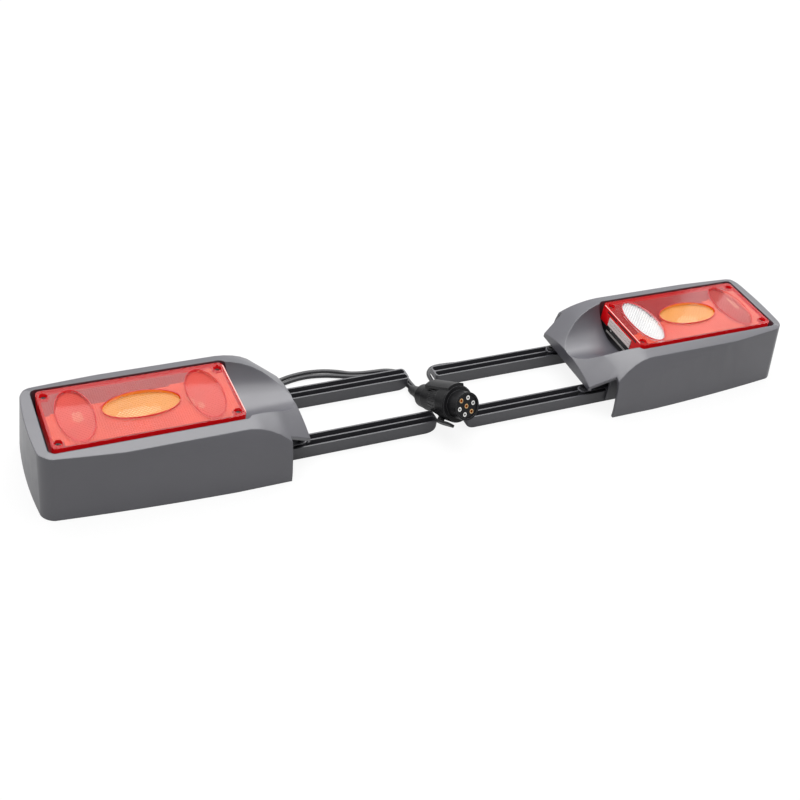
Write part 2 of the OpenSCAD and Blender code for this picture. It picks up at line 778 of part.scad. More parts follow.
// boot and cables
function boot_size(i, m) = boot_r + (boot_tip_r - boot_r) * i / m
  + ((i % 2 == 0 && i > 0 && i < m) ? 0.4 : 0);
module plug_boot() {
  m = len(boot_line) - 1;
  color([0.12, 0.12, 0.12])
    tube(boot_line, [for (i = [0 : m]) boot_size(i, m)], 20);
}
module cable(p, d) {
  color([0.07, 0.07, 0.08]) tube(p, [for (i = p) d / 2], 10);
}

on_left() housing([main_gland_x, link_gland_x]);  // left_housing
on_right() housing([link_gland_x]);  // right_housing
on_left() mirror([0, 1, 0]) arm();  // left_arm_front
on_left() arm();  // left_arm_rear
on_right() mirror([0, 1, 0]) arm();  // right_arm_front
on_right() arm();  // right_arm_rear
on_left() arm_screws();  // left_arm_screws
on_right() arm_screws();  // right_arm_screws
on_left() lamp_base([main_gland_x, link_gland_x]);  // left_lamp_base
on_right() lamp_base([link_gland_x]);  // right_lamp_base
on_left() seal();  // left_seal
on_right() seal();  // right_seal
on_left() reflector();  // left_reflector
on_right() reflector();  // right_reflector
on_left() lens([-1, 1]);  // left_lens
on_right() lens([1]);  // right_lens
on_left() amber_oval();  // left_amber_oval
on_right() amber_oval();  // right_amber_oval
on_right() reverse_oval();  // right_reverse_oval
on_left() plate_window();  // left_plate_window
on_right() plate_window();  // right_plate_window
on_left() lens_screws();  // left_lens_screws
on_right() lens_screws();  // right_lens_screws
on_left() bulb_at(1);  // left_bulb_tail
on_right() bulb_at(1);  // right_bulb_tail
on_left() bulb_at(0);  // left_bulb_indicator
on_right() bulb_at(0);  // right_bulb_indicator
on_left() bulb_at(-1);  // left_bulb_fog
on_right() bulb_at(-1);  // right_bulb_reverse
on_left() plate_bulb();  // left_bulb_plate
on_right() plate_bulb();  // right_bulb_plate
on_left() bulb_holders();  // left_bulb_holders
on_right() bulb_holders();  // right_bulb_holders
on_left() lamp_bolts();  // left_lamp_bolts
on_right() lamp_bolts();  // right_lamp_bolts
on_left() lamp_nuts();  // left_lamp_nuts
on_right() lamp_nuts();  // right_lamp_nuts
on_left() grommets([main_gland_x, link_gland_x]);  // left_grommets
on_right() grommets([link_gland_x]);  // right_grommet
plug_body();
gland_nut();  // plug_gland_nut
plug_boot();
plug_insert();
contacts_brass();  // plug_contacts_brass
contacts_silver();  // plug_contacts_silver
cable(main_route, main_d);  // main_cable
cable(smooth(concat(link_left, link_mid, link_right), 2), link_d);  // link_cable
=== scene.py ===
"""Looks of the trailer light set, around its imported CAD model.

Row frame, metres: x along the set, y to the rear, z up, floor at z = 0.
A lamp's unit frame, millimetres: x outward from its arms' free ends.
"""

import json
import math

import bmesh
import bpy
from mathutils import Matrix, Vector


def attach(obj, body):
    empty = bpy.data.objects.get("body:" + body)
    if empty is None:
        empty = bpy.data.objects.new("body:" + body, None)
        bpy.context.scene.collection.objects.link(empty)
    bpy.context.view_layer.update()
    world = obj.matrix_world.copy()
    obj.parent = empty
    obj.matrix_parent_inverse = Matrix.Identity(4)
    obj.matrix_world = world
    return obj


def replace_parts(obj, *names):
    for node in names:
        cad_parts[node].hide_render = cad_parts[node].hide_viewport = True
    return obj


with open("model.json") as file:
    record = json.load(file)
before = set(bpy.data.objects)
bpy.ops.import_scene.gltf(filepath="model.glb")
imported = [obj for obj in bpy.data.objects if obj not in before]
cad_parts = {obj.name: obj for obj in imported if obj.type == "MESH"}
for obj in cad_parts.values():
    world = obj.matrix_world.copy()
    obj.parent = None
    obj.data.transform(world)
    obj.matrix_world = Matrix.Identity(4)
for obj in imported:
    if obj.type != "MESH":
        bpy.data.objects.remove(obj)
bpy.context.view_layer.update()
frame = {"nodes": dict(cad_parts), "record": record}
NODES = frame["nodes"]
MM = 0.001

# sizes in a lamp's unit frame, as in part.scad
ARM_GAP = 37.0
UNIT_SHIFT = 5.7
LENS = {"x": 365.5, "l": 220.0, "w": 100.0, "z": 83.5, "h": 23.5, "wall": 2.5}
LENS_END = LENS["x"] - LENS["l"] / 2
LENS_LOW = LENS["z"] - LENS["h"]
LENS_UNDER = LENS["z"] - LENS["wall"]
INSERT_UNDER = LENS_UNDER - 1
SCREWS = {"l": 204.0, "w": 80.4, "clear": 6.5}
DOME_R, DOME_RISE = 400.0, 1.1
DOME_TOP = LENS["z"] + DOME_RISE
OVAL_X = 75.0
# the three ovals of a lens: place, length along x, width along y
OVALS = {"amber": (LENS["x"], 90.0, 44.0),
         "outer": (LENS["x"] + OVAL_X, 41.0, 88.0),
         "inner": (LENS["x"] - OVAL_X, 41.0, 88.0)}


def left(x, y, z):
    """A point of the left lamp, row frame, metres."""
    return Vector((-ARM_GAP / 2 - x, UNIT_SHIFT / 2 + y, z)) * MM


def right(x, y, z):
    """A point of the right lamp, row frame, metres."""
    return Vector((ARM_GAP / 2 + x, y - UNIT_SHIFT / 2, z)) * MM


UNITS = {"left": left, "right": right}


def add_object(name, data):
    """An object of its own in the scene."""
    obj = bpy.data.objects.new(name, data)
    bpy.context.scene.collection.objects.link(obj)
    return obj


# camera
CAMERA_AT = (-0.63937, -0.9991, 0.97066)
CAMERA_TURN, CAMERA_DOWN, CAMERA_ROLL = 30.574, 39.419, 10.014
CAMERA_LENS = 52.433


def photo_camera():
    """The photograph's camera, solved from the two mirrored lamps."""
    turn, down, roll = (math.radians(a) for a in (
        CAMERA_TURN, CAMERA_DOWN, CAMERA_ROLL))
    look = Vector((math.sin(turn) * math.cos(down),
                   math.cos(turn) * math.cos(down), -math.sin(down)))
    level = Vector((math.cos(turn), -math.sin(turn), 0.0))
    over = level.cross(look)
    across = level * math.cos(roll) + over * math.sin(roll)
    up = over * math.cos(roll) - level * math.sin(roll)
    data = bpy.data.cameras.new("camera")
    data.sensor_width = 36.0
    data.lens = CAMERA_LENS
    data.clip_start, data.clip_end = 0.05, 50.0
    cam = add_object("camera", data)
    cam.matrix_world = (Matrix.Translation(Vector(CAMERA_AT))
                        @ Matrix((across, up, -look)).transposed().to_4x4())
    bpy.context.scene.camera = cam


# cables
MAIN_D, LINK_D, OFF_FLOOR = 6.0, 5.6, 0.2
MAIN_Z, LINK_Z = MAIN_D / 2 + OFF_FLOOR, LINK_D / 2 + OFF_FLOOR
MAIN_GLAND, LINK_GLAND, GLAND_Y, GLAND_Z = 349.5, 369.5, 32.0, 33.0
BOOT_TIP, BOOT_WAY = Vector((0.4, 27.5, 5.6)), Vector((-0.5, 6, -0.8))
COIL_AT, COIL_R, COIL_STEP, COIL_TURNS = (395.0, -4.0), 42.3, 6.45, 3
COIL_POINTS, LAYER_GAP = 24, 0.1
END_R = COIL_R - COIL_TURNS * COIL_STEP
OUT_TURNS = 2.5
OUT_R = END_R + OUT_TURNS * COIL_STEP
COIL_UP = MAIN_Z + MAIN_D + LAYER_GAP
LEFT_END = Vector((-ARM_GAP / 2, UNIT_SHIFT / 2, 0.0))
RIGHT_END = Vector((ARM_GAP / 2, -UNIT_SHIFT / 2, 0.0))


def between(a, b, c, d, t):
    """Smooth curve from b to c, a and d being its neighbours."""
    return 0.5 * (2 * b + (c - a) * t + (2 * a - 5 * b + 4 * c - d) * t * t
                  + (3 * b - a - 3 * c + d) * t * t * t)


def smooth(points, n=5):
    """Smooth curve through the points, n pieces from each to the next."""
    last = len(points) - 1
    line = [between(points[max(i - 1, 0)], points[i], points[i + 1],
                    points[min(i + 2, last)], k / n)
            for i in range(last) for k in range(n)]
    return line + [points[last]]


def near_end(end, points):
    """Row points given from the free end of a lamp's arms."""
    return [(end + Vector(p)) * MM for p in points]


def laid(place, height, points):
    """Points of a lamp on the floor; a third number lifts one a little."""
    return [place(p[0], p[1], height + sum(p[2:])) for p in points]


def spiral(start, turns, r0, r1, z0, z1):
    """Clockwise spiral under the left lamp, without its last point."""
    n = round(COIL_POINTS * turns)
    points = []
    for i in range(n):
        a, f = math.radians(start - 360 / COIL_POINTS * i), i / n
        r = r0 + (r1 - r0) * f
        points.append(left(COIL_AT[0] + r * math.cos(a),
                           COIL_AT[1] + r * math.sin(a), z0 + (z1 - z0) * f))
    return points


def main_line():
    """From the left lamp's gland to the plug's boot."""
    run = near_end(LEFT_END, (
        BOOT_TIP, BOOT_TIP + BOOT_WAY, (-0.8, 40, MAIN_Z + 0.3),
        (-0.7, 48, MAIN_Z), (-1.9, 56, MAIN_Z), (-6.4, 62.4, MAIN_Z),
        (-13.2, 66, MAIN_Z)))
    run += laid(left, MAIN_Z, (
        (22, 67.6), (36, 67.4), (52, 69.5), (68, 73), (84, 78.5), (102, 84),
        (124, 87), (146, 85), (166, 79.5), (186, 73), (208, 67.6),
        (240, 65.4), (270, 64.6), (300, 62), (328, 56), (356, 47.5),
        (376, 41), (COIL_AT[0], COIL_AT[1] + COIL_R)))
    # in to the middle, up onto that layer, and out again
    coil = (spiral(75, COIL_TURNS - 1 / COIL_POINTS,
                   COIL_R - COIL_STEP / COIL_POINTS, END_R, MAIN_Z, MAIN_Z)
            + spiral(90, 0.25, END_R, END_R, MAIN_Z, COIL_UP)
            + spiral(0, OUT_TURNS, END_R, OUT_R, COIL_UP, COIL_UP))
    rise = [left(*p) for p in (
        (COIL_AT[0] - OUT_R, COIL_AT[1], COIL_UP),
        (MAIN_GLAND + 5.2, 6, COIL_UP + 0.6), (MAIN_GLAND + 3.4, 17, 13.4),
        (MAIN_GLAND + 1, 26.4, 20.6), (MAIN_GLAND, GLAND_Y - 0.4, 27.6),
        (MAIN_GLAND, GLAND_Y, GLAND_Z))]
    return (smooth(run) + coil + smooth(rise))[::-1]


def link_line():
    """From the left lamp's gland to the right lamp's."""
    line = [left(LINK_GLAND + x, GLAND_Y + y, z) for x, y, z in (
        (0, 0, GLAND_Z), (0, 0, GLAND_Z - 3), (0, 3, 25), (-3, 14, 13),
        (-14, 28, 5.4))]
    line += laid(left, LINK_Z, (
        (334, 70, 0.3), (300, 73.5), (250, 73.6), (208, 76), (186, 81.5),
        (166, 88), (146, 93.6), (122, 95.8), (100, 93.4), (82, 87.6),
        (66, 80), (50, 76.4), (34, 75), (19, 73.8), (9, 70.8), (1.4, 66)))
    line += near_end(LEFT_END, (
        (3.4, 59, LINK_Z), (5.2, 50, LINK_Z), (6, 40, LINK_Z),
        (8, 29.2, LINK_Z), (13.6, 23.5, LINK_Z)))
    line.append(Vector((2.7, 24.3, LINK_Z)) * MM)
    line += near_end(RIGHT_END, (
        (-8.2, 29.2, LINK_Z), (-2.6, 34.8, LINK_Z), (-0.6, 43, LINK_Z),
        (0.6, 55, LINK_Z), (5, 63, LINK_Z)))
    line += laid(right, LINK_Z, (
        (12, 68), (22, 69.6), (40, 68.6), (64, 66), (110, 64), (160, 64.4),
        (208, 68), (250, 69.4), (300, 69), (324, 66, 0.5)))
    line += [right(LINK_GLAND + x, GLAND_Y + y, z) for x, y, z in (
        (-18, 28, 5), (-5, 15, 12), (0, 4, 24), (0, 0, GLAND_Z - 3),
        (0, 0, GLAND_Z))]
    return smooth(line)


def cable(name, line, diameter):
    """A round cable along a line, in place of the CAD's plain tube."""
    data = bpy.data.curves.new(name, "CURVE")
    data.dimensions = "3D"
    data.bevel_depth = diameter * MM / 2
    data.bevel_resolution = 4
    data.use_fill_caps = True
    spline = data.splines.new("POLY")
    spline.points.add(len(line) - 1)
    for point, at in zip(spline.points, line):
        point.co = (*at, 1.0)
    spline.use_smooth = True
    data.materials.append(MATERIALS["cable_black"])
    obj = add_object(name, data)
    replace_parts(obj, name.replace("_line", "_cable"))
    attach(obj, "root")
    return obj


# materials
# scales of the noises: fine mould grain, and slow changes of gloss or colour
GRAIN, BRUSHED = 1400.0, 900.0
MOULD_TINT, MOULD_GLOSS = 14.0, 60.0
METAL_TINT, METAL_GLOSS = 120.0, 300.0
CLEAR_TINT, CLEAR_GLOSS, OPTIC_TINT = 30.0, 80.0, 45.0
CLEAR_ROUGH, CLEAR_IOR = 0.05, 1.58
OPTIC_ROUGH, OPTIC_IOR = 0.3, 1.45
# cosines between the rounded and the true normal, from a full painted edge
# highlight to none
HIGHLIGHT_FULL, HIGHLIGHT_NONE = 0.8, 0.99
# upward parts of the normal, from a wall to a face that counts as flat
WALL, FLAT = 0.45, 0.9


class Shader:
    """One procedural material around a Principled shader."""

    def __init__(self, name, color, rough, **sockets):
        self.mat = bpy.data.materials.new(name)
        self.mat.use_nodes = True
        self.tree = self.mat.node_tree
        self.bsdf = self.tree.nodes["Principled BSDF"]
        self.set("Base Color", (*color, 1.0))
        self.set("Roughness", rough)
        for key, value in sockets.items():
            self.set(key.replace("_", " "), value)
        self.space = self.add("ShaderNodeTexCoord").outputs["Object"]
        self.normal = None

    def set(self, socket, value):
        self.bsdf.inputs[socket].default_value = value

    def drive(self, socket, source):
        self.link(source, self.bsdf.inputs[socket])

    def add(self, kind, **values):
        """A node; each value is a setting of its own or of an input."""
        node = self.tree.nodes.new(kind)
        for key, value in values.items():
            if hasattr(node, key):
                setattr(node, key, value)
            else:
                node.inputs[key.replace("_", " ")].default_value = value
        return node

    def link(self, a, b):
        self.tree.links.new(a, b)

    def noise(self, scale, detail=3.0):
        node = self.add("ShaderNodeTexNoise", Scale=scale, Detail=detail)
        self.link(self.space, node.inputs["Vector"])
        return node.outputs["Fac"]

    def ramp(self, fac, low, high):
        """Two colours across the middle of a noise."""
        node = self.add("ShaderNodeValToRGB")
        ends = node.color_ramp.elements
        ends[0].position, ends[0].color = 0.35, (*low, 1.0)
        ends[1].position, ends[1].color = 0.65, (*high, 1.0)
        self.link(fac, node.inputs["Fac"])
        return node.outputs["Color"]

    def remap(self, value, to_low, to_high, low=0.0, high=1.0):
        """The value from low to high as one from to_low to to_high."""
        node = self.add("ShaderNodeMapRange", From_Min=low, From_Max=high,
                        To_Min=to_low, To_Max=to_high)
        self.link(value, node.inputs["Value"])
        return node.outputs["Result"]

    def mix(self, fac, low, high):
        """Colour from low to high, of which each is plain or a socket."""
        node = self.add("ShaderNodeMix", data_type="RGBA")
        self.link(fac, node.inputs["Factor"])
        for key, color in (("A", low), ("B", high)):
            if isinstance(color, tuple):
                node.inputs[key].default_value = (*color, 1.0)
            else:
                self.link(color, node.inputs[key])
        return node.outputs["Result"]

    def gloss(self, fac, low, high):
        self.drive("Roughness", self.remap(fac, low, high))

    def soft_edge(self, radius_mm):
        node = self.add("ShaderNodeBevel", samples=4, Radius=radius_mm * MM)
        self.normal = node.outputs["Normal"]
        self.drive("Normal", self.normal)

    def bump(self, height, strength, depth_mm):
        node = self.add("ShaderNodeBump", Strength=strength,
                        Distance=depth_mm * MM)
        self.link(height, node.inputs["Height"])
        if self.normal:
            self.link(self.normal, node.inputs["Normal"])
        self.normal = node.outputs["Normal"]
        self.drive("Normal", self.normal)


def shade(color, k):
    """The colour, k times as bright."""
    return tuple(c * k for c in color)


def moulded(name, color, rough, depth=0.05, edge=0.0, worn=None, **more):
    """Plastic or rubber from a mould, with fine grain and rounded edges,
    on which a paler colour is painted as a highlight where one is given."""
    m = Shader(name, color, rough, **more)
    fill = m.ramp(m.noise(MOULD_TINT, 2.0), shade(color, 0.94),
                  shade(color, 1.06))
    if edge:
        m.soft_edge(edge)
    if worn:
        # painted highlight: the edges turn paler where the rounded normal
        # leaves the true one
        turn = m.add("ShaderNodeVectorMath", operation="DOT_PRODUCT")
        m.link(m.normal, turn.inputs[0])
        m.link(m.add("ShaderNodeNewGeometry").outputs["Normal"],
               turn.inputs[1])
        edge_lit = m.remap(turn.outputs["Value"], 1.0, 0.0, HIGHLIGHT_FULL, HIGHLIGHT_NONE)
        fill = m.mix(edge_lit, fill, worn)
    m.drive("Base Color", fill)
    m.bump(m.noise(GRAIN), 0.35, depth)
    m.gloss(m.noise(MOULD_GLOSS, 4.0), rough - 0.05, rough + 0.05)
    return m.mat


def metal(name, color, rough):
    """Bare metal with fine marks of its making."""
    m = Shader(name, color, rough, Metallic=1.0)
    m.bump(m.noise(BRUSHED, 2.0), 0.2, 0.03)
    m.drive("Base Color",
            m.ramp(m.noise(METAL_TINT), shade(color, 0.85), color))
    m.gloss(m.noise(METAL_GLOSS), rough - 0.08, rough + 0.1)
    return m.mat


def clear(name, color, alpha, wall=None, wall_alpha=0.0, glow=0.0):
    """Thin clear plastic: the colour shows over what lies behind it.
    Its upright walls are deeper in colour, as they are seen edgeways, and
    glow with a painted light of that colour, for the light that the plastic
    gathers and carries to them."""
    m = Shader(name, color, CLEAR_ROUGH, Alpha=alpha, IOR=CLEAR_IOR)
    fill = m.ramp(m.noise(CLEAR_TINT, 2.0), shade(color, 0.9), color)
    if wall:
        facing = m.add("ShaderNodeSeparateXYZ")
        m.link(m.add("ShaderNodeNewGeometry").outputs["True Normal"],
               facing.inputs["Vector"])
        level = m.add("ShaderNodeMath", operation="ABSOLUTE")
        m.link(facing.outputs["Z"], level.inputs[0])
        flat = m.remap(level.outputs[0], 0.0, 1.0, WALL, FLAT)
        fill = m.mix(flat, wall, fill)
        m.drive("Alpha", m.remap(flat, wall_alpha, alpha))
        # painted glow: the walls give out light of their own colour, though
        # they are no lamp
        m.drive("Emission Strength", m.remap(flat, glow, 0.0))
        m.set("Emission Color", (*wall, 1.0))
    m.drive("Base Color", fill)
    m.gloss(m.noise(CLEAR_GLOSS), CLEAR_ROUGH, CLEAR_ROUGH + 0.06)
    return m.mat


def optic(name, color):
    """The ribbed inside of a lens with the bright reflector behind it, in one
    plain colour; the lighter and darker copies made of it are painted light
    and shade.
    """
    m = Shader(name, color, OPTIC_ROUGH, IOR=OPTIC_IOR)
    m.drive("Base Color",
            m.ramp(m.noise(OPTIC_TINT), shade(color, 0.88), color))
    return m.mat


# name: maker, colour, roughness or alpha, and the maker's other values
LOOKS = {
    "housing_grey": (moulded, (0.065, 0.064, 0.077), 0.34,
                     {"edge": 2.0, "Specular_IOR_Level": 0.9, "IOR": 1.52}),
    # the paler edge colours of the arms and the plug are painted highlights
    "arm_dark": (moulded, (0.062, 0.062, 0.07), 0.3,
                 {"depth": 0.03, "edge": 0.6, "worn": (0.13, 0.13, 0.14)}),
    "lamp_black": (moulded, (0.03, 0.03, 0.032), 0.4, {"edge": 0.4}),
    "screw_dark": (moulded, (0.03, 0.03, 0.034), 0.3, {"edge": 0.3}),
    "rubber_black": (moulded, (0.022, 0.022, 0.023), 0.5, {"edge": 0.3}),
    "plug_black": (moulded, (0.008, 0.008, 0.009), 0.38,
                   {"depth": 0.03, "edge": 0.8, "worn": (0.1, 0.1, 0.105),
                    "Specular_IOR_Level": 0.16}),
    "cable_black": (moulded, (0.022, 0.022, 0.025), 0.36, {"depth": 0.03}),
    # a bright red that the strips inside the lens walls show as painted light
    # for the walls' glow
    "side_red": (moulded, (0.85, 0.012, 0.012), 0.4, {}),
    "ring_red": (moulded, (0.5, 0.005, 0.012), 0.3, {}),
    "rib_white": (moulded, (0.98, 0.86, 0.84), 0.35, {}),
    # the pink and grey colours below are painted highlights, and the dark red
    # gap colour a painted shade, on the lamps' inner ends
    "edge_pink": (moulded, (0.95, 0.42, 0.38), 0.25, {}),
    "line_grey": (moulded, (0.5, 0.48, 0.47), 0.3, {}),
    "glass_dark": (moulded, (0.02, 0.018, 0.018), 0.1, {}),
    "gap_dark": (moulded, (0.035, 0.001, 0.003), 0.3, {}),
    "reflector_silver": (metal, (0.8, 0.8, 0.8), 0.2, {}),
    "holder_steel": (metal, (0.6, 0.58, 0.52), 0.35, {}),
    "screw_steel": (metal, (0.09, 0.085, 0.085), 0.4, {}),
    "contact_brass": (metal, (0.78, 0.5, 0.24), 0.25, {}),
    "contact_silver": (metal, (0.85, 0.85, 0.83), 0.22, {}),
    # glow is a painted light on the lens walls, for the light that the plastic
    # carries to them
    "lens_red": (clear, (0.6, 0.008, 0.008), 0.3,
                 {"wall": (0.7, 0.004, 0.008), "wall_alpha": 0.8,
                  "glow": 0.2}),
    "lens_amber": (clear, (0.9, 0.25, 0.01), 0.22,
                   {"wall": (0.9, 0.22, 0.0), "wall_alpha": 0.8,
                    "glow": 0.15}),
    "lens_clear": (clear, (0.8, 0.8, 0.8), 0.16, {}),
    "bulb_glass": (clear, (0.85, 0.85, 0.85), 0.3, {}),
}
# colours of the cells under a lens: each plain name is the cells' tops,
# painted lighter, and its _low copy their sloping sides, painted darker; the
# glint colours are painted glints; the near, rear, dark and shade tones stand
# partly for zones of the reflector behind and partly are painted reflections
# of lighter and darker surroundings
OPTICS = {
    "optic_red": (1.0, 0.34, 0.22),
    "optic_red_low": (0.82, 0.13, 0.09),
    "optic_shade": (0.55, 0.17, 0.12),
    "optic_shade_low": (0.3, 0.03, 0.02),
    "optic_near": (1.0, 0.28, 0.13),
    "optic_near_low": (0.96, 0.22, 0.09),
    "optic_rear": (0.17, 0.14, 0.12),
    "optic_rear_low": (0.08, 0.065, 0.055),
    "optic_dark": (0.07, 0.003, 0.003),
    "optic_dark_low": (0.02, 0.001, 0.001),
    "optic_amber": (0.74, 0.53, 0.15),
    "optic_amber_low": (0.58, 0.31, 0.07),
    "optic_clear": (0.9, 0.9, 0.9),
    "optic_clear_low": (0.55, 0.55, 0.55),
    "glint_warm": (1.0, 0.98, 0.6),
    "glint_white": (1.0, 0.97, 0.92),
}
MATERIALS = {
    **{name: make(name, color, value, **more)
       for name, (make, color, value, more) in LOOKS.items()},
    **{name: optic(name, color) for name, color in OPTICS.items()}}


# shading of the CAD meshes
SHARP = math.radians(28)
WELD = 2e-6


def smooth_nodes():
    """Joins the CAD mesh's loose faces and keeps only true edges sharp."""
    group = bpy.data.node_groups.new("even_shading", "GeometryNodeTree")
    for way in ("INPUT", "OUTPUT"):
        group.interface.new_socket("Geometry", in_out=way,
                                   socket_type="NodeSocketGeometry")
    new, join = group.nodes.new, group.links.new
    start, end = new("NodeGroupInput"), new("NodeGroupOutput")
    drop = new("GeometryNodeRemoveAttribute")
    drop.inputs["Name"].default_value = "custom_normal"
    weld = new("GeometryNodeMergeByDistance")
    weld.inputs["Distance"].default_value = WELD
    soft = new("GeometryNodeSetShadeSmooth")
    hard = new("GeometryNodeSetShadeSmooth")
    soft.domain = hard.domain = "EDGE"
    hard.inputs["Shade Smooth"].default_value = False
    angle = new("GeometryNodeInputMeshEdgeAngle")
    wide = new("FunctionNodeCompare")
    wide.operation = "GREATER_THAN"
    wide.inputs[1].default_value = SHARP
    join(angle.outputs["Unsigned Angle"], wide.inputs[0])
    join(wide.outputs["Result"], hard.inputs["Selection"])
    chain = (start, drop, weld, soft, hard, end)
    for one, two in zip(chain, chain[1:]):
        join(one.outputs[0], two.inputs[0])
    return group


def dress_cad():
    """Even shading and the slot's material for every CAD node."""
    slots = {s["node"]: s["material_slot"]
             for s in frame["record"]["subparts"]}
    group = smooth_nodes()
    for name, obj in NODES.items():
        mesh = obj.data
        mesh.polygons.foreach_set("use_smooth", [True] * len(mesh.polygons))
        mesh.materials.clear()
        mesh.materials.append(MATERIALS[slots[name]])
        obj.modifiers.new("even_shading", "NODES").node_group = group
        weigh = obj.modifiers.new("weigh_normals", "WEIGHTED_NORMAL")
        weigh.keep_sharp = True


# meshes of the scene's own pieces
def block(mesh, place, low, high):
    """A box between two corners in a unit's frame."""
    v = [mesh.verts.new(place(x, y, z)) for x in (low[0], high[0])
         for y in (low[1], high[1]) for z in (low[2], high[2])]
    for f in ((0, 1, 3, 2), (4, 6, 7, 5), (0, 4, 5, 1), (2, 3, 7, 6),
              (0, 2, 6, 4), (1, 5, 7, 3)):
        mesh.faces.new([v[i] for i in f])


def finish_mesh(name, mesh, mats, smooth_faces=False):
    """An object from a bmesh, with its materials and body."""
    data = bpy.data.meshes.new(name)
    mesh.to_mesh(data)
    mesh.free()
    for face in data.polygons:
        face.use_smooth = smooth_faces
    for mat in mats:
        data.materials.append(MATERIALS[mat])
    obj = add_object(name, data)
    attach(obj, "root")
    return obj


def finish_solid(name, mesh, mat, smooth_faces=False):
    """The same for a closed form of one material."""
    bmesh.ops.recalc_face_normals(mesh, faces=mesh.faces)
    return finish_mesh(name, mesh, (mat,), smooth_faces)


# lamp optics
CELL_H, CELL_EDGE = 0.5, 0.2
# a cell's size and how far its grid is turned
FIELD_GRID, OVAL_GRID = (2.8, 0), (3.3, 45)
FIELD_Z = LENS_UNDER - 0.12
FIELD_MARGIN = LENS["wall"] + 1.5
FLAT_Z = INSERT_UNDER - 0.35
CROWN_DROP = 0.85
# how far the field stops before an oval, and how far an oval's own sheet
# reaches beyond its edge, under the field's sheet
OVAL_CLEAR, SPREAD = 0.4, 1.8
# tone, tone of the glints and slot of what lies under each oval
OVAL_LOOKS = {
    "left": {"amber": ("amber", "glint_warm", "lens_amber"),
             "outer": ("red", "glint_warm", "lens_red"),
             "inner": ("red", "glint_warm", "lens_red")},
    "right": {"amber": ("amber", "glint_warm", "lens_amber"),
              "outer": ("shade", "glint_warm", "lens_red"),
              "inner": ("clear", "glint_white", "lens_clear")}}
# ovals of cells with painted glints on their tops: place, length and width
GLINTS = {
    "left": {"amber": ((372, -9, 54, 16),),
             "outer": ((438, -1, 13, 20), (463, -15, 12, 20)),
             "inner": ((314, -10, 16, 24), (300, -16, 8, 14))},
    "right": {"amber": ((360, -11, 34, 18),),
              "outer": ((452, 6, 8, 26),),
              "inner": ((303, 2, 18, 40),)}}
# inserts that are pieces of their own: name, oval, slot, CAD node
INSERTS = {
    "left": (("left_amber_dome", "amber", "lens_amber",
              "left_amber_oval"),),
    "right": (("right_amber_dome", "amber", "lens_amber",
               "right_amber_oval"),
              ("right_clear_dome", "inner", "lens_clear",
               "right_reverse_oval"))}


# the darker zones and the lighter near zones are partly zones of the reflector
# behind and partly painted reflections of the surroundings
# front edge of each lens's darker zone: y at the lens's middle, its slope
# over u, the distance outward from the middle, and the u where it starts
LEFT_ZONE = (22, -0.12, -70)
RIGHT_ZONE = (8, 0.3)


def rear_left(u, y):
    """The darker band of the left lens, along its rear."""
    middle, slope, start = LEFT_ZONE
    return y > middle + slope * u and u > start


def rear_right(u, y):
    """The darker half of the right lens, toward the arms and the rear."""
    middle, slope = RIGHT_ZONE
    return y > middle + slope * u


ZONES = {
    "left": {"rear": rear_left,
             "near": lambda u, y: not rear_left(u, y)},
    "right": {"dark": rear_right,
              "near": lambda u, y: not rear_right(u, y)}}


def in_oval(x, y, cx, length, width, grow=0.0):
    """Inside an oval that is larger by grow all round."""
    a, b = length / 2 + grow, width / 2 + grow
    return ((x - cx) / a) ** 2 + (y / b) ** 2 < 1


def in_field(x, y):
    """Inside the lens's top, outside its ovals and screw posts."""
    dx, dy = abs(x - LENS["x"]), abs(y)
    if (dx > LENS["l"] / 2 - FIELD_MARGIN
            or dy > LENS["w"] / 2 - FIELD_MARGIN):
        return False
    if math.hypot(dx - SCREWS["l"] / 2,
                  dy - SCREWS["w"] / 2) < SCREWS["clear"]:
        return False
    return not any(in_oval(x, y, *oval, OVAL_CLEAR)
                   for oval in OVALS.values())


def dome_z(x, y, cx):
    """Height of the crowned top over an oval's middle at cx."""
    return (DOME_TOP - DOME_R
            + math.sqrt(DOME_R ** 2 - (x - cx) ** 2 - y ** 2))


def facets(name, unit, keep, z_of, area, grid, mats, glints=()):
    """A sheet of small raised cells where keep(x, y) is true: each has four
    sloping sides in the darker first colour, a painted shade, and a flat top
    in the lighter second, a painted light, which takes the third colour, a
    painted glint, inside the glints' ovals.
    The area is its middle, half its length and half its width."""
    place = UNITS[unit]
    cx, half_x, half_y = area
    pitch, turn = grid
    n = int(math.hypot(half_x, half_y) / pitch) + 1
    c, s = math.cos(math.radians(turn)), math.sin(math.radians(turn))
    e = CELL_EDGE
    mesh = bmesh.new()
    corner = {}

    def at(i, j, low):
        u, v = i * pitch, j * pitch
        x, y = cx + c * u - s * v, s * u + c * v
        return x, y, z_of(x, y) - low

    def vertex(i, j):
        if (i, j) not in corner:
            corner[i, j] = mesh.verts.new(place(*at(i, j, CELL_H)))
        return corner[i, j]

    for i in range(-n, n):
        for j in range(-n, n):
            x, y, _ = at(i + 0.5, j + 0.5, 0)
            if not keep(x, y):
                continue
            ring = [vertex(i, j), vertex(i + 1, j), vertex(i + 1, j + 1),
                    vertex(i, j + 1)]
            top = [mesh.verts.new(place(*at(i + a, j + b, 0))) for a, b in (
                (e, e), (1 - e, e), (1 - e, 1 - e), (e, 1 - e))]
            if unit == "left":
                ring.reverse()
                top.reverse()
            for k in range(4):
                m = (k + 1) % 4
                mesh.faces.new((ring[k], ring[m], top[m], top[k]))
            bright = any(in_oval(x, y - gy, gx, length, width)
                         for gx, gy, length, width in glints)
            # painted glint on the tops inside the glints' ovals; the sides
            # keep the first colour
            mesh.faces.new(top).material_index = 2 if bright else 1
    return finish_mesh(name, mesh, mats)


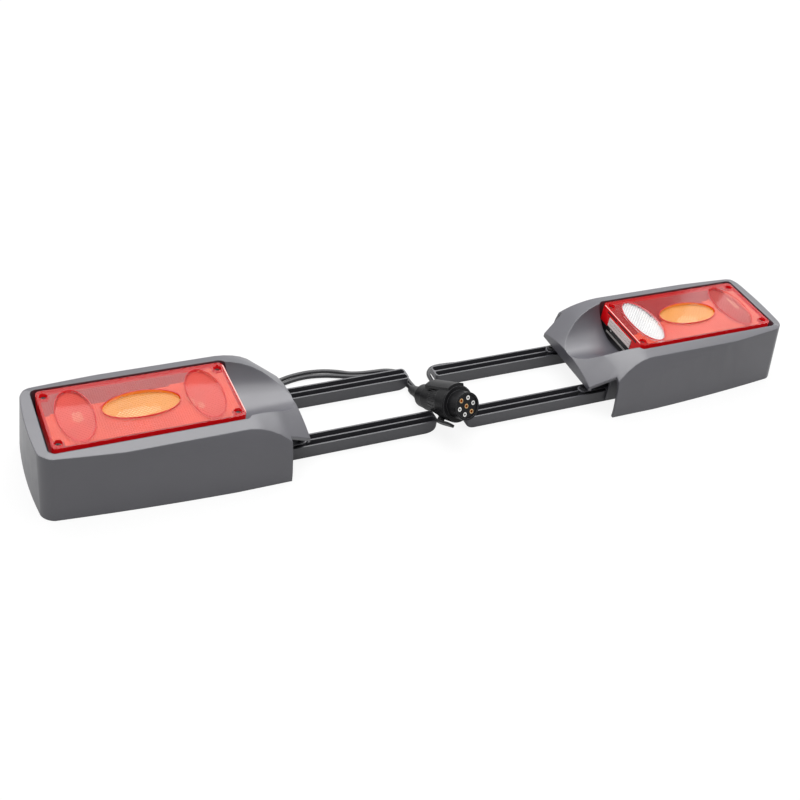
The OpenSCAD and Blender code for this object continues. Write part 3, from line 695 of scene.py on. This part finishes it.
def lamp_optics(unit):
    """Ribbed sheets under the lens, one for each colour."""
    for label, zone in ZONES[unit].items():
        facets(f"{unit}_optic_{label}", unit,
               lambda x, y: in_field(x, y) and zone(x - LENS["x"], y),
               lambda x, y: FIELD_Z,
               (LENS["x"], LENS["l"] / 2, LENS["w"] / 2), FIELD_GRID,
               (f"optic_{label}_low", f"optic_{label}"))
    own = {oval for _, oval, _, _ in INSERTS[unit]}
    for label, (ox, length, width) in OVALS.items():
        tone, glint, slot = OVAL_LOOKS[unit][label]
        facets(f"{unit}_optic_{label}", unit,
               lambda x, y: in_oval(x, y, ox, length, width, SPREAD),
               lambda x, y: FLAT_Z if label in own else (
                   min(dome_z(x, y, ox), LENS["z"]) - LENS["wall"]
                   - CROWN_DROP),
               (ox, length / 2 + SPREAD, width / 2 + SPREAD), OVAL_GRID,
               (f"optic_{tone}_low", f"optic_{tone}", glint),
               GLINTS[unit][label])


# the strips: gap to the wall, half thickness, and room left at their ends,
# below and above
STRIP = {"gap": 0.4, "half_t": 0.3, "end": 8, "below": 3, "above": 1}


def side_strips(unit):
    """Bright red strips just inside the lens's walls, seen through them:
    painted light for the glow that the red plastic carries to its walls.
    """
    mesh, cx = bmesh.new(), LENS["x"]
    half_l = LENS["l"] / 2 - LENS["wall"] - STRIP["gap"]
    half_w = LENS["w"] / 2 - LENS["wall"] - STRIP["gap"]
    low, high = LENS_LOW + STRIP["below"], LENS_UNDER - STRIP["above"]
    t, end = STRIP["half_t"], STRIP["end"]
    for s in (-1, 1):
        block(mesh, UNITS[unit], (cx - half_l + end, s * half_w - t, low),
              (cx + half_l - end, s * half_w + t, high))
    block(mesh, UNITS[unit], (cx + half_l - t, -half_w + end, low),
          (cx + half_l + t, half_w - end, high))
    return finish_solid(unit + "_side_strips", mesh, "side_red")


DOME = {"inset": 0.1, "rings": 7, "sides": 72}


def oval_dome(name, unit, label, mat):
    """A crowned insert with an upright rim and a flat underside."""
    ox, length, width = OVALS[label]
    half_l, half_w = length / 2 - DOME["inset"], width / 2 - DOME["inset"]
    place, mesh = UNITS[unit], bmesh.new()
    rings, n = DOME["rings"], DOME["sides"]

    def ring(share, height):
        points = ((ox + share * half_l * math.cos(2 * math.pi * j / n),
                   share * half_w * math.sin(2 * math.pi * j / n))
                  for j in range(n))
        return [mesh.verts.new(place(x, y, height(x, y)))
                for x, y in points]

    loops = [ring(k / rings, lambda x, y: dome_z(x, y, ox))
             for k in range(1, rings + 1)]
    loops.append(ring(1, lambda x, y: INSERT_UNDER))
    top = mesh.verts.new(place(ox, 0, DOME_TOP))
    for j in range(n):
        m = (j + 1) % n
        mesh.faces.new((top, loops[0][j], loops[0][m]))
        for one, two in zip(loops, loops[1:]):
            mesh.faces.new((one[j], two[j], two[m], one[m]))
    mesh.faces.new(loops[-1])
    obj = finish_solid(name, mesh, mat, True)
    obj.data.set_sharp_from_angle(angle=SHARP)
    return obj


# section of the fine raised edge of an oval: out from it, and up
RING_SECTION = ((0, -0.5), (0, 0), (0.45, 0.08), (0.9, 0), (0.9, -0.5))
RING_UP, RING_PARTS = 0.1, 120


def oval_rings(unit):
    """Fine raised edges round the three ovals."""
    mesh, place, n = bmesh.new(), UNITS[unit], RING_PARTS
    sides = len(RING_SECTION)
    for ox, length, width in OVALS.values():
        loops = []
        for j in range(n):
            a = 2 * math.pi * j / n
            c, s = math.cos(a), math.sin(a)
            edge = dome_z(ox + length / 2 * c, width / 2 * s, ox)
            z = max(LENS["z"], edge) + RING_UP
            loops.append([mesh.verts.new(place(
                ox + (length / 2 + out) * c, (width / 2 + out) * s, z + up))
                for out, up in RING_SECTION])
        for j in range(n):
            one, two = loops[j], loops[(j + 1) % n]
            for k in range(sides):
                m = (k + 1) % sides
                mesh.faces.new((one[k], one[m], two[m], two[k]))
    return finish_solid(unit + "_oval_rings", mesh, "ring_red",
                        True)


RIBS_Z, RIB_H = (62.3, 66.8, 71.3), 3.6
WINDOW_HALF = 27
# trim on a lamp's inner end: name, material, slot, and strips from y, z to
# y, z, between two distances out from the lens's end wall
END_TRIM = (
    ("plate_ribs", "rib_white", "lens_clear",
     [(-WINDOW_HALF, z, WINDOW_HALF, z + RIB_H, 0.7, 0.05)
      for z in RIBS_Z]),
    ("plate_glass", "glass_dark", "lamp_black",
     [(-WINDOW_HALF, 54.9, WINDOW_HALF, 61.6, 0.4, 0.06)]),
    # painted highlights: two light lines for the ribs below the glass, and a
    # small patch for the bulb's glint behind it
    ("plate_painted_highlights", "line_grey", "lamp_black",
     [(-WINDOW_HALF, 53.5, WINDOW_HALF, 54.3, 0.5, -0.3),
      (-WINDOW_HALF, 51.9, WINDOW_HALF, 52.5, 0.5, -0.3),
      (15.6, 58.2, 18.4, 60.4, 0.7, 0.45)]),
    # painted shade: dark strips for the shade in a gap below the lens's top
    ("end_painted_shade", "gap_dark", "lens_red",
     [(-37, 78.4, 8, 80.6, 0.3, 0.05), (11, 78.4, 34, 80.6, 0.3, 0.05)]),
    ("end_line", "side_red", "lens_red",
     [(-31, 75.8, 33, 77.2, 0.4, 0.05)]),
    # painted highlight along the top edge of the lens's end
    ("end_painted_highlight", "edge_pink", "lens_red",
     [(-44, 83.1, 44, 83.62, 0.12, -1.0)]))


def end_trim(unit):
    """The lamp's inner end: ribbed window and dark glass, with painted
    highlights of the ribs, the bulb and the top edge, a painted shade in a
    gap, and a bright red line.
    """
    for name, mat, slot, strips in END_TRIM:
        mesh = bmesh.new()
        for y0, z0, y1, z1, out, back in strips:
            block(mesh, UNITS[unit], (LENS_END - out, y0, z0),
                  (LENS_END - back, y1, z1))
        finish_solid(f"{unit}_{name}", mesh, mat)


def dress_lamp(unit):
    """All that the scene adds to one lamp."""
    lamp_optics(unit)
    side_strips(unit)
    oval_rings(unit)
    end_trim(unit)
    for name, label, mat, node in INSERTS[unit]:
        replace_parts(oval_dome(name, unit, label, mat), node)


# stage and light
FLOOR_HALF, FLOOR_Z = 12.0, -0.0003
FLOOR_PAPER, FLOOR_GLOW = 0.55, 1.1
# how much of the floor glows for the camera, and of that for reflections
CAMERA_SHARE, GLOSSY_SHARE = 0.8, 0.5
WORLD_LEVEL = 0.2
# soft boxes: name, place, target, width, height, radiance of the face
PANELS = (
    ("top_box", (0.1, 1.3, 2.5), (0.1, 0.0, 0.0), 3.6, 2.6, 3.2),
    ("over_box", (0.2, -0.5, 2.7), (0.2, -0.4, 0.0), 3.6, 1.7, 2.5),
    ("right_box", (2.5, 1.35, 1.85), (0.45, 0.0, 0.0), 1.16, 1.4, 2.8),
    ("front_box", (-1.6, -2.0, 2.3), (0.0, 0.0, 0.0), 1.6, 1.6, 0.8))


def math_node(tree, operation, a, b):
    """A result from two values, of which each is plain or a socket."""
    node = tree.nodes.new("ShaderNodeMath")
    node.operation = operation
    for socket, value in zip(node.inputs, (a, b)):
        if isinstance(value, float):
            socket.default_value = value
        else:
            tree.links.new(value, socket)
    return node.outputs[0]


def white_floor():
    """Pale paper that looks white and still takes the set's shadow."""
    mat = bpy.data.materials.new("floor_white")
    mat.use_nodes = True
    tree = mat.node_tree
    tree.nodes.clear()
    out = tree.nodes.new("ShaderNodeOutputMaterial")
    mix = tree.nodes.new("ShaderNodeMixShader")
    paper = tree.nodes.new("ShaderNodeBsdfDiffuse")
    glow = tree.nodes.new("ShaderNodeEmission")
    path = tree.nodes.new("ShaderNodeLightPath").outputs
    paper.inputs["Color"].default_value = (*[FLOOR_PAPER] * 3, 1)
    glow.inputs["Strength"].default_value = FLOOR_GLOW
    part = math_node(tree, "MULTIPLY", path["Is Glossy Ray"], GLOSSY_SHARE)
    seen = math_node(tree, "MAXIMUM", path["Is Camera Ray"], part)
    full = math_node(tree, "MULTIPLY", seen, CAMERA_SHARE)
    tree.links.new(full, mix.inputs["Fac"])
    tree.links.new(paper.outputs[0], mix.inputs[1])
    tree.links.new(glow.outputs[0], mix.inputs[2])
    tree.links.new(mix.outputs[0], out.inputs["Surface"])
    data = bpy.data.meshes.new("floor")
    data.from_pydata([(x * FLOOR_HALF, y * FLOOR_HALF, FLOOR_Z)
                      for x, y in ((-1, -1), (1, -1), (1, 1), (-1, 1))], [],
                     [(0, 1, 2, 3)])
    data.materials.append(mat)
    add_object("floor", data)


def world_light(level):
    """White where it is seen or reflected, and dim as a light."""
    world = bpy.data.worlds.new("world")
    bpy.context.scene.world = world
    world.use_nodes = True
    tree = world.node_tree
    back = tree.nodes["Background"]
    back.inputs["Color"].default_value = (1, 1, 1, 1)
    path = tree.nodes.new("ShaderNodeLightPath").outputs
    seen = math_node(tree, "MAXIMUM", path["Is Camera Ray"],
                     path["Is Glossy Ray"])
    seen = math_node(tree, "MAXIMUM", seen, path["Is Transmission Ray"])
    size = tree.nodes.new("ShaderNodeMapRange")
    size.inputs["To Min"].default_value = level
    size.inputs["To Max"].default_value = 1.0
    tree.links.new(seen, size.inputs["Value"])
    tree.links.new(size.outputs["Result"], back.inputs["Strength"])


def panel(name, at, target, wide, tall, radiance):
    """A soft box whose face has the given radiance."""
    data = bpy.data.lights.new(name, "AREA")
    data.shape = "RECTANGLE"
    data.size, data.size_y = wide, tall
    data.energy = radiance * wide * tall * math.pi
    lamp = add_object(name, data)
    lamp.location = at
    aim = Vector(target) - Vector(at)
    lamp.rotation_euler = aim.to_track_quat("-Z", "Y").to_euler()


photo_camera()
main = cable("main_line", main_line(), MAIN_D)
link = cable("link_line", link_line(), LINK_D)
dress_cad()
for unit_name in UNITS:
    dress_lamp(unit_name)

white_floor()
world_light(WORLD_LEVEL)
for soft_box in PANELS:
    panel(*soft_box)
bpy.context.scene.view_settings.view_transform = "Standard"
